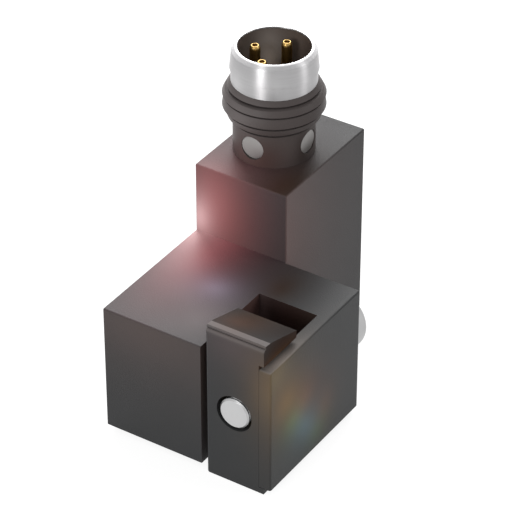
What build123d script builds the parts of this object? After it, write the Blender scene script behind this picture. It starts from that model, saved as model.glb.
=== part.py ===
from build123d import *
import os

# Clamp-on magnetic field sensor for cylinders, with a snap-in plug connector on its tower.
# Frame: +X to the right along the front face, +Y to the back, +Z up. The origin lies on the
# centre of the plan, level with the underside of the jaw's foot. Sizes are in millimetres.

# Housing: a low block in front and a narrow tower behind it
housing_width = 17.5
housing_depth = 28.0
block_depth = 14.6
block_height = 12.8
step_width = 7.8
tower_height = 19.9
wall = 1.2
edge_radius = 0.18
top_edge_radius = 0.16

# Channel for the clamp jaw, open at the front, the top and the base
channel_width = 6.0
channel_depth = 9.35
channel_side_wall = 1.2

# Clamp jaw
jaw_depth = 5.15
jaw_slot = 0.52
jaw_running_gap = 0.02
jaw_lip = 0.5
jaw_lip_gap = 0.45
foot_drop = 0.65
foot_running_gap = 0.05
jaw_front_height = 2.45
jaw_back_height = 1.2
jaw_edge_radius = 0.3
brow_setback = 0.25
brow_depth = 0.9
brow_height = 0.2
brow_fall = 0.08
groove_height = 0.1
groove_depth = 0.13
lip_round = 0.35

# Clamp screw, its retaining ring and the threaded insert in the jaw
screw_height = 7.0
screw_right_of_channel_middle = 0.45
thread_diameter = 3.0
tip_recess = 0.1
tip_chamfer = 0.22
tip_hole_diameter = 3.6
head_diameter = 6.3
head_height = 2.5
head_edge_chamfer = 0.35
head_gap = 0.05
socket_flats = 2.5
socket_depth = 1.4
shank_running_gap = 0.08
thread_running_gap = 0.05
ring_groove_depth = 0.2
ring_diameter = 5.2
ring_thickness = 0.5
ring_gap = 0.1
insert_diameter = 4.0
insert_length = 3.5
insert_groove_depth = 0.2
insert_groove_width = 0.6

# Base cover
cover_thickness = 1.0
cover_rebate = 0.5

# Connector: its axis measured from the middle of the tower
connector_left_of_middle = 0.48
connector_front_of_middle = 0.38
neck_diameter = 7.5
neck_height = 3.78
collar_diameter = 8.5
collar_height = 0.92
lower_ridge_diameter = 9.38
lower_ridge_height = 1.17
waist_diameter = 9.06
upper_ridge_diameter = 9.38
upper_ridge_height = 0.86
upper_ridge_shoulder_diameter = 8.84
upper_ridge_shoulder_height = 0.53
top_tier_diameter = 8.52
top_tier_height = 0.43
tier_undercut = 0.12
spigot_diameter = 5.0
spigot_wall = 0.5
spigot_reach = 0.5
neck_wall = 0.55
lens_land = 0.1

# Connector sleeve, the lined socket inside it and its contacts
sleeve_diameter = 7.82
sleeve_plain_height = 1.3
sleeve_height = 3.4
sleeve_band_diameter = 8.06
carrier_seat_depth = 2.8
sleeve_wall = 0.31
rim_width = 0.58
rim_height = 0.18
rim_land = 0.14
rim_bevel_width = 0.15
rim_bevel_height = 0.16
rim_shoulder_diameter = 7.7
rim_shoulder_height = 0.36
socket_floor_over_seat = 0.4
carrier_foot = 0.3
contact_diameter = 1.0
contact_collar_diameter = 1.5
contact_circle_diameter = 4.12
contact_below_rim = 0.38
contact_tip_taper = 0.22
contact_tip_height = 0.38
contact_tip_round = 0.5
contact_tail_diameter = 0.5

# Light ring with round lenses, and the seal under the neck
lens_diameter = 2.3
lens_height = 1.8
lens_count = 4
lens_recess = 0.16
seal_section = 0.5
seal_diameter = 6.5

# Circuit boards and what is soldered to them
board_thickness = 0.8
board_side_gap = 0.4
sensor_board_lift = 1.0
main_board_top_gap = 1.2
led_board_thickness = 0.6
led_board_edge = 0.14
led_board_lift = 0.2
led_board_side_gap = 0.05
led_circle_diameter = 3.1
led_length = 0.8
led_width = 0.45
led_height = 0.4
led_count = 4
wire_diameter = 0.46
wire_pitch = 1.2
wire_overlap = 2.0
solder_leg = 0.6
solder_length = 1.0
solder_pitch = 2.6
solder_count = 3
sensor_chip_size = (3.0, 3.0, 0.9)
signal_chip_size = (3.0, 3.0, 1.0)
transistor_size = (2.9, 1.4, 1.1)
diode_size = (2.6, 1.5, 1.1)
capacitor_size = (0.8, 1.6, 0.8)
capacitor_count = 3
resistor_size = (0.8, 1.6, 0.35)
resistor_count = 4
chip_row_gap = 0.9
chip_gap = 0.6
small_part_pitch = 1.7

# Places worked out from the sizes above
left = -housing_width / 2
right = housing_width / 2
front = -housing_depth / 2
back = housing_depth / 2
base = foot_drop
block_top = base + block_height
tower_top = base + tower_height
step = front + block_depth
tower_right = right - step_width

channel_right = right - channel_side_wall
channel_left = channel_right - channel_width
channel_back = front + channel_depth

jaw_left = channel_left + jaw_slot
jaw_shank_right = channel_right - jaw_running_gap
jaw_right = channel_right + jaw_lip

screw_x = (channel_left + channel_right) / 2 + screw_right_of_channel_middle
screw_z = base + screw_height
thread_radius = thread_diameter / 2
screw_axis = Axis((screw_x, 0, screw_z), (0, 1, 0))
ring_recess = ring_thickness + 2 * ring_gap

cavity_left = left + wall
cavity_right = tower_right - wall
cavity_front = front + wall
cavity_back = back - wall
cavity_floor = base + cover_thickness

connector_x = (left + tower_right) / 2 - connector_left_of_middle
connector_y = (step + back) / 2 - connector_front_of_middle
connector_axis = Axis((connector_x, connector_y, 0), (0, 0, 1))
lower_ridge_foot = neck_height + collar_height
upper_ridge_foot = lower_ridge_foot + lower_ridge_height
top_tier_foot = upper_ridge_foot + upper_ridge_height
barb_top = top_tier_foot + top_tier_height
carrier_seat = barb_top - carrier_seat_depth
rim_top = barb_top + sleeve_height
socket_floor = carrier_seat + socket_floor_over_seat
carrier_bottom = carrier_seat - carrier_foot
spigot_bore = spigot_diameter - 2 * spigot_wall
neck_bore = neck_diameter - 2 * neck_wall
neck_floor = lens_height - lens_diameter / 2 - lens_land
sleeve_bore = sleeve_diameter - 2 * sleeve_wall
rim_bore = sleeve_diameter - 2 * rim_width
contact_tip = rim_top - contact_below_rim

sensor_board_bottom = cavity_floor + sensor_board_lift
sensor_board_top = sensor_board_bottom + board_thickness
main_board_right = connector_x - wire_diameter / 2
main_board_left = main_board_right - board_thickness
main_board_top = tower_top - wall - main_board_top_gap
main_board_front = step + wall + board_side_gap
main_board_back = cavity_back - board_side_gap
main_board_middle = (main_board_front + main_board_back) / 2
led_board_bottom = tower_top + neck_floor + led_board_lift
led_board_top = led_board_bottom + led_board_thickness
led_board_diameter = contact_circle_diameter + contact_tail_diameter + 2 * led_board_edge
light_ring_bore = led_board_diameter + 2 * led_board_side_gap


def span(x_range, y_range, mode=Mode.ADD):
    """Draws a rectangle between two limits on each axis of the sketch in progress."""
    middle = (sum(x_range) / 2, sum(y_range) / 2)
    with Locations(middle):
        Rectangle(x_range[1] - x_range[0], y_range[1] - y_range[0], mode=mode)


def across_screw(y):
    """Gives the plane that cuts the screw's axis at y, facing the back."""
    return Plane(origin=(screw_x, y, screw_z), x_dir=(1, 0, 0), z_dir=(0, 1, 0))


def along_screw():
    """Gives the plane of the screw's turned profile: radius along X, distance from the front along Y."""
    return Plane(origin=(screw_x, front, screw_z), x_dir=(1, 0, 0), z_dir=(0, 0, 1))


def connector_profile():
    """Gives the plane of the connector's turned profiles: radius, then height over the tower."""
    return Plane(origin=(connector_x, connector_y, tower_top), x_dir=(1, 0, 0), z_dir=(0, -1, 0))


def over_connector(height):
    """Gives the level plane on the connector's axis at a height over the tower."""
    return Plane(origin=(connector_x, connector_y, tower_top + height), x_dir=(1, 0, 0), z_dir=(0, 0, 1))


def finish(part, name):
    """Labels a finished piece and writes its file."""
    part.label = name
    export_step(part, f"parts/{name}.step")


os.makedirs("parts", exist_ok=True)


# Housing, moulded in one piece
def is_inner_corner(edge):
    """Tells the two concave edges between the block and the tower from the outer edges."""
    middle = edge.center()
    on_step = abs(middle.Y - step) < edge_radius
    upright = on_step and abs(middle.X - tower_right) < edge_radius and middle.Z < block_top
    level = on_step and abs(middle.Z - block_top) < edge_radius and middle.X < tower_right
    return upright or level


with BuildPart() as housing:
    with BuildSketch(Plane.XY.offset(base)):
        span((left, right), (front, step))
    extrude(amount=block_height)
    with BuildSketch(Plane.XY.offset(base)):
        span((left, tower_right), (step, back))
    extrude(amount=tower_height)
    outer_edges = housing.edges().filter_by(lambda edge: not is_inner_corner(edge))
    fillet(outer_edges.filter_by(Axis.Z), radius=edge_radius)
    level_edges = housing.edges().filter_by(Plane.XY).filter_by(lambda edge: edge.center().Z > base)
    fillet(level_edges.filter_by(lambda edge: not is_inner_corner(edge)), radius=top_edge_radius)
    # the jaw's channel runs through from the top to the base
    with BuildSketch(Plane.XY.offset(base)):
        span((channel_left, channel_right), (front, channel_back))
    extrude(amount=block_height, mode=Mode.SUBTRACT)
    # the screw's hole, with a recess for the retaining ring on the channel's side
    with BuildSketch(across_screw(channel_back)):
        Circle(thread_radius + shank_running_gap)
    extrude(amount=step - channel_back, mode=Mode.SUBTRACT)
    with BuildSketch(across_screw(channel_back)):
        Circle(ring_diameter / 2 + ring_gap)
    extrude(amount=ring_recess, mode=Mode.SUBTRACT)
    # the cavity for the electronics, open at the base, with a rebate for the cover
    with BuildSketch(Plane.XY.offset(base)):
        span((cavity_left, cavity_right), (cavity_front, cavity_back))
    extrude(amount=block_height - wall, mode=Mode.SUBTRACT)
    with BuildSketch(Plane.XY.offset(base)):
        span((cavity_left, cavity_right), (step + wall, cavity_back))
    extrude(amount=tower_height - wall, mode=Mode.SUBTRACT)
    with BuildSketch(Plane.XY.offset(base)):
        span(
            (cavity_left - cover_rebate, cavity_right + cover_rebate),
            (cavity_front - cover_rebate, cavity_back + cover_rebate),
        )
    extrude(amount=cover_thickness, mode=Mode.SUBTRACT)
    # the hole in the tower's roof that takes the connector's spigot
    with BuildSketch(over_connector(0)):
        Circle(spigot_diameter / 2)
    extrude(amount=-wall, mode=Mode.SUBTRACT)
finish(housing.part, "housing")


# Base cover, glued into its rebate; the sensing face
with BuildPart() as base_cover:
    with BuildSketch(Plane.XY.offset(base)):
        span(
            (cavity_left - cover_rebate, cavity_right + cover_rebate),
            (cavity_front - cover_rebate, cavity_back + cover_rebate),
        )
    extrude(amount=cover_thickness)
finish(base_cover.part, "base_cover")


# Clamp jaw: the side profile is drawn with depth behind the front face and height over the base
with BuildPart() as clamp_jaw:
    brow_top = block_height + jaw_front_height
    brow_foot = brow_top - brow_height
    lip_top = brow_foot - groove_height
    with BuildSketch(Plane(origin=(jaw_left, front, base), x_dir=(0, 1, 0), z_dir=(1, 0, 0))):
        with BuildLine():
            Line((0, -foot_drop), (0, lip_top - lip_round))
            RadiusArc((0, lip_top - lip_round), (brow_setback, lip_top), lip_round)
            Polyline(
                (brow_setback, lip_top),
                (brow_setback + groove_depth, lip_top),
                (brow_setback + groove_depth, brow_foot),
                (brow_setback, brow_foot),
                (brow_setback, brow_top - brow_height / 2),
                (brow_setback + brow_height / 2, brow_top),
                (brow_setback + brow_depth, brow_top - brow_fall),
                (jaw_depth, block_height + jaw_back_height),
                (jaw_depth, -foot_drop),
                (0, -foot_drop),
            )
        make_face()
    extrude(amount=jaw_right - jaw_left)
    # from the front: the shank clears the channel's wall, the head and the foot reach past it
    with BuildSketch(Plane.XZ.offset(-front)) as front_outline:
        span((jaw_left, jaw_right), (0, base + brow_top))
        fillet(front_outline.vertices().sort_by(Axis.X)[:2].sort_by(Axis.Z)[0], radius=jaw_edge_radius)
        span(
            (jaw_shank_right, jaw_right),
            (base - foot_running_gap, block_top + jaw_lip_gap),
            mode=Mode.SUBTRACT,
        )
    extrude(amount=-jaw_depth, mode=Mode.INTERSECT)
    # from above: the front edge along the slot is rounded
    with BuildSketch(Plane.XY) as plan_outline:
        span((jaw_left, jaw_right), (front, front + jaw_depth))
        fillet(plan_outline.vertices().sort_by(Axis.X)[:2].sort_by(Axis.Y)[0], radius=jaw_edge_radius)
    extrude(amount=base + brow_top, mode=Mode.INTERSECT)
    # the screw's tip shows in the front hole, and the threaded insert sits behind it
    with BuildSketch(across_screw(front)):
        Circle(tip_hole_diameter / 2)
    extrude(amount=jaw_depth, mode=Mode.SUBTRACT)
    with BuildSketch(across_screw(front + jaw_depth)):
        Circle(insert_diameter / 2)
    extrude(amount=-insert_length, mode=Mode.SUBTRACT)
finish(clamp_jaw.part, "clamp_jaw")


# Threaded insert, pressed into the jaw from behind, with two grooves that the plastic grips
with BuildPart() as thread_insert:
    insert_radius = insert_diameter / 2
    insert_front = jaw_depth - insert_length
    with BuildSketch(along_screw()):
        span((thread_radius + thread_running_gap, insert_radius), (insert_front, jaw_depth))
        for third in (1, 2):
            groove_middle = insert_front + insert_length * third / 3
            with Locations((insert_radius - insert_groove_depth / 2, groove_middle)):
                Rectangle(insert_groove_depth, insert_groove_width, mode=Mode.SUBTRACT)
    revolve(axis=screw_axis)
finish(thread_insert.part, "thread_insert")


# Clamp screw: a turned profile about its own axis, then the hexagon socket in its head
with BuildPart() as clamp_screw:
    head_start = block_depth + head_gap
    head_end = head_start + head_height
    head_radius = head_diameter / 2
    groove_start = channel_depth + ring_gap
    groove_end = groove_start + ring_thickness
    groove_radius = thread_radius - ring_groove_depth
    with BuildSketch(along_screw()):
        with BuildLine():
            Polyline(
                (0, tip_recess),
                (thread_radius - tip_chamfer, tip_recess),
                (thread_radius, tip_recess + tip_chamfer),
                (thread_radius, groove_start),
                (groove_radius, groove_start),
                (groove_radius, groove_end),
                (thread_radius, groove_end),
                (thread_radius, head_start),
                (head_radius, head_start),
                (head_radius, head_end - head_edge_chamfer),
                (head_radius - head_edge_chamfer, head_end),
                (0, head_end),
                close=True,
            )
        make_face()
    revolve(axis=screw_axis)
    with BuildSketch(across_screw(front + head_end)):
        RegularPolygon(radius=socket_flats / 2, side_count=6, major_radius=False)
    extrude(amount=-socket_depth, mode=Mode.SUBTRACT)
finish(clamp_screw.part, "clamp_screw")


# Retaining ring in the screw's groove, which keeps the screw in the housing
with BuildPart() as retaining_ring:
    with BuildSketch(across_screw(front + channel_depth + ring_gap)):
        Circle(ring_diameter / 2)
        Circle(groove_radius, mode=Mode.SUBTRACT)
    extrude(amount=ring_thickness)
finish(retaining_ring.part, "retaining_ring")


# Connector body: the neck, then four tiers of the barb ring, each overhanging the one below
with BuildPart() as connector_body:
    with BuildSketch(connector_profile()):
        with BuildLine():
            Polyline(
                (neck_bore / 2, neck_floor),
                (spigot_bore / 2, neck_floor),
                (spigot_bore / 2, -wall - spigot_reach),
                (spigot_diameter / 2, -wall - spigot_reach),
                (spigot_diameter / 2, 0),
                (neck_diameter / 2, 0),
                (neck_diameter / 2, neck_height),
                (collar_diameter / 2, neck_height),
                (collar_diameter / 2 + tier_undercut, lower_ridge_foot),
                (lower_ridge_diameter / 2, lower_ridge_foot),
                (waist_diameter / 2, upper_ridge_foot),
                (upper_ridge_diameter / 2, upper_ridge_foot),
                (upper_ridge_shoulder_diameter / 2, upper_ridge_foot + upper_ridge_shoulder_height),
                (top_tier_diameter / 2 - tier_undercut, top_tier_foot),
                (top_tier_diameter / 2, top_tier_foot),
                (sleeve_diameter / 2, barb_top),
                (sleeve_bore / 2, barb_top),
                (sleeve_bore / 2, carrier_seat),
                (neck_bore / 2, carrier_seat),
                close=True,
            )
        make_face()
    revolve(axis=connector_axis)
    # the groove for the seal in the shoulder, and the round windows for the lenses
    with BuildSketch(over_connector(0)):
        Circle((seal_diameter + seal_section) / 2)
        Circle((seal_diameter - seal_section) / 2, mode=Mode.SUBTRACT)
    extrude(amount=seal_section, mode=Mode.SUBTRACT)
    for turn in range(lens_count):
        direction = Vector(1, 0, 0).rotate(Axis.Z, turn * 360 / lens_count)
        window_origin = Vector(connector_x, connector_y, tower_top + lens_height)
        with BuildSketch(Plane(origin=window_origin, x_dir=(0, 0, 1), z_dir=direction)):
            Circle(lens_diameter / 2)
        extrude(amount=neck_diameter, mode=Mode.SUBTRACT)
finish(connector_body.part, "connector_body")


# Connector sleeve: a turned tube with a band that narrows towards its bevelled rim; it stands on
# the body
with BuildPart() as connector_sleeve:
    plain_top = barb_top + sleeve_plain_height
    with BuildSketch(connector_profile()):
        with BuildLine():
            Polyline(
                (sleeve_bore / 2, barb_top),
                (sleeve_diameter / 2, barb_top),
                (sleeve_diameter / 2, plain_top),
                (sleeve_band_diameter / 2, plain_top),
                (rim_shoulder_diameter / 2, rim_top - rim_shoulder_height),
                (rim_bore / 2 + rim_land + rim_bevel_width, rim_top - rim_bevel_height),
                (rim_bore / 2 + rim_land, rim_top),
                (rim_bore / 2, rim_top),
                (rim_bore / 2, rim_top - rim_height),
                (sleeve_bore / 2, rim_top - rim_height),
                close=True,
            )
        make_face()
    revolve(axis=connector_axis)
finish(connector_sleeve.part, "connector_sleeve")


# Contact carrier: the moulded cup that lines the sleeve and holds the contacts in its floor
contact_places = [
    (connector_x - contact_circle_diameter / 2, connector_y),
    (connector_x, connector_y + contact_circle_diameter / 2),
    (connector_x, connector_y - contact_circle_diameter / 2),
]
with BuildPart() as contact_carrier:
    with BuildSketch(connector_profile()):
        with BuildLine():
            Polyline(
                (0, carrier_bottom),
                (neck_bore / 2, carrier_bottom),
                (neck_bore / 2, carrier_seat),
                (sleeve_bore / 2, carrier_seat),
                (sleeve_bore / 2, rim_top - rim_height),
                (rim_bore / 2, rim_top - rim_height),
                (rim_bore / 2, socket_floor),
                (0, socket_floor),
                close=True,
            )
        make_face()
    revolve(axis=connector_axis)
    with BuildSketch(Plane.XY.offset(tower_top + carrier_bottom)):
        with Locations(*contact_places):
            Circle(contact_collar_diameter / 2)
    extrude(amount=socket_floor - carrier_bottom, mode=Mode.SUBTRACT)
finish(contact_carrier.part, "contact_carrier")


# Contacts: turned pins with a blunt tip, a collar in the carrier's floor and a thinner tail below
def make_contact(place, name):
    """Turns one contact pin about its own axis and writes it."""
    radius = contact_diameter / 2
    shoulder = contact_tip - contact_tip_height
    tail_bottom = led_board_bottom - tower_top
    profile = Plane(origin=(place[0], place[1], tower_top), x_dir=(1, 0, 0), z_dir=(0, -1, 0))
    with BuildPart() as contact:
        with BuildSketch(profile):
            with BuildLine():
                Polyline(
                    (0, tail_bottom),
                    (contact_tail_diameter / 2, tail_bottom),
                    (contact_tail_diameter / 2, carrier_bottom),
                    (contact_collar_diameter / 2, carrier_bottom),
                    (contact_collar_diameter / 2, socket_floor),
                    (radius, socket_floor),
                    (radius, shoulder),
                )
                RadiusArc((radius, shoulder), (radius - contact_tip_taper, contact_tip), -contact_tip_round)
                Polyline((radius - contact_tip_taper, contact_tip), (0, contact_tip), (0, tail_bottom))
            make_face()
        revolve(axis=Axis((place[0], place[1], 0), (0, 0, 1)))
    finish(contact.part, name)


for contact_place, contact_name in zip(contact_places, ("contact_pin_4", "contact_pin_1", "contact_pin_3")):
    make_contact(contact_place, contact_name)


# Light ring: a clear tube inside the neck, whose round lenses fill the windows
with BuildPart() as light_ring:
    lens_face = (neck_diameter / 2) - lens_recess
    ring_height = carrier_bottom - neck_floor
    with BuildSketch(over_connector(neck_floor)):
        Circle(neck_bore / 2)
    extrude(amount=ring_height)
    for turn in range(lens_count):
        direction = Vector(1, 0, 0).rotate(Axis.Z, turn * 360 / lens_count)
        lens_origin = Vector(connector_x, connector_y, tower_top + lens_height)
        with BuildSketch(Plane(origin=lens_origin, x_dir=(0, 0, 1), z_dir=direction)):
            Circle(lens_diameter / 2)
        extrude(amount=lens_face)
    with BuildSketch(over_connector(neck_floor)):
        Circle(light_ring_bore / 2)
    extrude(amount=ring_height, mode=Mode.SUBTRACT)
finish(light_ring.part, "light_ring")


# Flat seal ring in its groove between the connector's shoulder and the tower's roof
with BuildPart() as neck_seal:
    with BuildSketch(over_connector(0)):
        Circle((seal_diameter + seal_section) / 2)
        Circle((seal_diameter - seal_section) / 2, mode=Mode.SUBTRACT)
    extrude(amount=seal_section)
finish(neck_seal.part, "neck_seal")


# Round board in the neck, drilled for the contacts' tails
with BuildPart() as led_board:
    with BuildSketch(Plane.XY.offset(led_board_bottom)):
        with Locations((connector_x, connector_y)):
            Circle(led_board_diameter / 2)
        with Locations(*contact_places):
            Circle(contact_tail_diameter / 2, mode=Mode.SUBTRACT)
    extrude(amount=led_board_thickness)
finish(led_board.part, "led_board")


# Status lamps on the round board, turned between the contacts
with BuildPart() as status_leds:
    with BuildSketch(Plane(origin=(connector_x, connector_y, led_board_top))):
        with PolarLocations(led_circle_diameter / 2, led_count, start_angle=45):
            Rectangle(led_width, led_length)
    extrude(amount=led_height)
finish(status_leds.part, "status_leds")


# Sensor board: level, just over the sensing face
with BuildPart() as sensor_board:
    with BuildSketch(Plane.XY.offset(sensor_board_bottom)):
        span(
            (cavity_left + board_side_gap, cavity_right - board_side_gap),
            (cavity_front + board_side_gap, cavity_back - board_side_gap),
        )
    extrude(amount=board_thickness)
finish(sensor_board.part, "sensor_board")


# Main board: upright in the tower, standing on the sensor board
with BuildPart() as main_board:
    with BuildSketch(Plane.XY.offset(sensor_board_top)):
        span(
            (main_board_left, main_board_right),
            (main_board_front, main_board_back),
        )
    extrude(amount=main_board_top - sensor_board_top)
finish(main_board.part, "main_board")


# Three wires from the main board up through the spigot to the round board
with BuildPart() as link_wires:
    wire_bottom = main_board_top - wire_overlap
    with BuildSketch(Plane.XY.offset(wire_bottom)):
        with Locations((connector_x, connector_y)):
            with GridLocations(0, wire_pitch, 1, 3):
                Circle(wire_diameter / 2)
    extrude(amount=led_board_bottom - wire_bottom)
finish(link_wires.part, "link_wires")


# Solder fillets in the corner between the two boards
with BuildPart() as solder_joints:
    first_joint = main_board_middle - solder_pitch * (solder_count - 1) / 2
    for number in range(solder_count):
        joint_start = first_joint + number * solder_pitch - solder_length / 2
        with BuildSketch(
            Plane(origin=(main_board_right, joint_start, sensor_board_top), x_dir=(1, 0, 0), z_dir=(0, -1, 0))
        ):
            with BuildLine():
                Polyline((0, 0), (solder_leg, 0), (0, solder_leg), close=True)
            make_face()
        extrude(amount=-solder_length)
finish(solder_joints.part, "solder_joints")


# Sensing chip under the sensor board, on the middle of the block's sensing face
with BuildPart() as field_sensor_chip:
    with BuildSketch(Plane.XY.offset(sensor_board_bottom)):
        with Locations(((cavity_left + cavity_right) / 2, front + block_depth / 2)):
            Rectangle(sensor_chip_size[0], sensor_chip_size[1])
    extrude(amount=-sensor_chip_size[2])
finish(field_sensor_chip.part, "field_sensor_chip")


# Parts on the main board's left face, away from the wires, in rows from the bottom up
board_face = Plane(
    origin=(main_board_left, main_board_middle, sensor_board_top),
    x_dir=(0, -1, 0),
    z_dir=(-1, 0, 0),
)
chip_row = solder_leg + chip_row_gap + signal_chip_size[1] / 2
power_row = chip_row + (signal_chip_size[1] + transistor_size[1]) / 2 + chip_row_gap
small_row = power_row + (transistor_size[1] + capacitor_size[1]) / 2 + chip_row_gap


def mount_on_board(name, size, places):
    """Makes like parts that stand on the main board: width, height along the board, thickness."""
    with BuildPart() as group:
        with BuildSketch(board_face):
            with Locations(*places):
                Rectangle(size[0], size[1])
        extrude(amount=size[2])
    finish(group.part, name)
    return group.part


def row_of(count, row, middle):
    """Gives the places of like parts side by side in one row of the board."""
    return [(middle + small_part_pitch * (number - (count - 1) / 2), row) for number in range(count)]


transistor_middle = -(chip_gap + transistor_size[0]) / 2
diode_middle = (chip_gap + diode_size[0]) / 2
signal_chip = mount_on_board("signal_chip", signal_chip_size, [(0, chip_row)])
output_transistor = mount_on_board("output_transistor", transistor_size, [(transistor_middle, power_row)])
protection_diode = mount_on_board("protection_diode", diode_size, [(diode_middle, power_row)])
capacitors = mount_on_board("capacitors", capacitor_size, row_of(capacitor_count, small_row, 0))
resistor_row = small_row + (capacitor_size[1] + resistor_size[1]) / 2 + chip_row_gap / 2
resistors = mount_on_board("resistors", resistor_size, row_of(resistor_count, resistor_row, 0))


# Potting resin: what is left of the cavity round everything that is cast into it
with BuildPart() as potting:
    with BuildSketch(Plane.XY.offset(cavity_floor)):
        span((cavity_left, cavity_right), (cavity_front, cavity_back))
    extrude(amount=block_top - wall - cavity_floor)
    with BuildSketch(Plane.XY.offset(cavity_floor)):
        span((cavity_left, cavity_right), (step + wall, cavity_back))
    extrude(amount=tower_top - wall - cavity_floor)
    cast_in = [
        connector_body.part,
        sensor_board.part,
        main_board.part,
        link_wires.part,
        solder_joints.part,
        field_sensor_chip.part,
        signal_chip,
        output_transistor,
        protection_diode,
        capacitors,
        resistors,
    ]
    for piece in cast_in:
        add(piece, mode=Mode.SUBTRACT)
finish(potting.part, "potting")
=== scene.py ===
import math
from functools import cached_property

import bmesh
import bpy
from bpy.props import FloatProperty, FloatVectorProperty, IntProperty, PointerProperty
from mathutils import Matrix, Vector


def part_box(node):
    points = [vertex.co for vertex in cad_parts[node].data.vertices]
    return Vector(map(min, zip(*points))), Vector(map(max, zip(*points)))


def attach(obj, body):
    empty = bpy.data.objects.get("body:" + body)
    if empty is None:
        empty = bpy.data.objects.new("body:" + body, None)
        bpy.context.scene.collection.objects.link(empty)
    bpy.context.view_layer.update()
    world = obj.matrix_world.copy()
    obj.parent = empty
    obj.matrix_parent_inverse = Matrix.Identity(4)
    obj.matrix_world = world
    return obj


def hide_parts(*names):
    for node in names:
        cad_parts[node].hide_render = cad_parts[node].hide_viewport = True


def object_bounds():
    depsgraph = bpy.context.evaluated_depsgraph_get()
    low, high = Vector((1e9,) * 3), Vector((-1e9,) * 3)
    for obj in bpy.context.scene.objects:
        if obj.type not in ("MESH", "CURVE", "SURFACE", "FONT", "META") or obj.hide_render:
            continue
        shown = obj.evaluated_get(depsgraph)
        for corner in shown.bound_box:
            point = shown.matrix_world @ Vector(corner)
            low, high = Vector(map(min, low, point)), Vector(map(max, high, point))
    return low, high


bl_info = {
    "name": "Clamp-on Magnetic Field Sensor",
    "version": (1, 0, 0),
    "blender": (4, 5, 0),
    "location": "View3D > Sidebar > Sensor",
    "description": "Dresses a clamp-on sensor with its plug connector, contacts, clamp screw and studio",
    "category": "Object",
}

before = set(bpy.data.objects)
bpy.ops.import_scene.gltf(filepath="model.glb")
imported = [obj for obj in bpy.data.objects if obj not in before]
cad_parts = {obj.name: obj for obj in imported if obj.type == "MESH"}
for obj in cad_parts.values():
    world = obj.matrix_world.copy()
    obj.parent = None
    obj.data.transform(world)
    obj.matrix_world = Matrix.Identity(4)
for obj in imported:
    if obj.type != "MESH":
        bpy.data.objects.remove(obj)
cad_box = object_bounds()

MM = 0.001


def middle_of(node):
    """Gives the middle of a CAD node's box, in millimetres."""
    low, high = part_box(node)
    return (low + high) / 2 / MM


def lowest(node):
    """Gives the lowest corner of a CAD node's box, in millimetres."""
    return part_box(node)[0] / MM


def highest(node):
    """Gives the highest corner of a CAD node's box, in millimetres."""
    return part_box(node)[1] / MM


TOWER_TOP = highest("housing").z
CONNECTOR_AXIS = middle_of("connector_sleeve")
SCREW_AXIS = middle_of("clamp_screw")


def on_axis(height):
    """Gives the point on the connector's axis at a height, in millimetres."""
    return Vector((CONNECTOR_AXIS.x, CONNECTOR_AXIS.y, height))


# Sizes and colours that a user would change
def length_setting(name, description, default_mm):
    """Makes a length property from a value in millimetres."""
    return FloatProperty(
        name=name, description=description, default=default_mm * MM, unit="LENGTH", precision=5
    )


def colour_setting(name, description, default):
    """Makes a colour property."""
    return FloatVectorProperty(
        name=name, description=description, default=default, subtype="COLOR", size=3, min=0.0, max=1.0
    )


def share_setting(name, description, default):
    """Makes a property for a share between none and all."""
    return FloatProperty(
        name=name, description=description, default=default, min=0.0, max=1.0, subtype="FACTOR"
    )


def angle_setting(name, description, default_degrees):
    """Makes an angle property from a value in degrees."""
    return FloatProperty(
        name=name, description=description, default=math.radians(default_degrees), unit="ROTATION"
    )


def power_setting(name, description, default):
    """Makes a property for the power of a lamp, in watts."""
    return FloatProperty(name=name, description=description, default=default, unit="POWER")


class MouldingFinish(bpy.types.PropertyGroup):
    """Finish of the moulded pieces"""

    colour: colour_setting("Colour", "Colour of the housing and the jaw", (0.036, 0.037, 0.038))
    connector_colour: colour_setting(
        "Connector colour", "Colour of the connector's body", (0.066, 0.056, 0.054)
    )
    lining_colour: colour_setting("Lining colour", "Colour inside the socket", (0.05, 0.036, 0.028))
    grain: length_setting("Grain", "Size of the eroded grain on the mould", 0.07)
    roughness: share_setting("Roughness", "Roughness of the moulded faces", 0.38)


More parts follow.
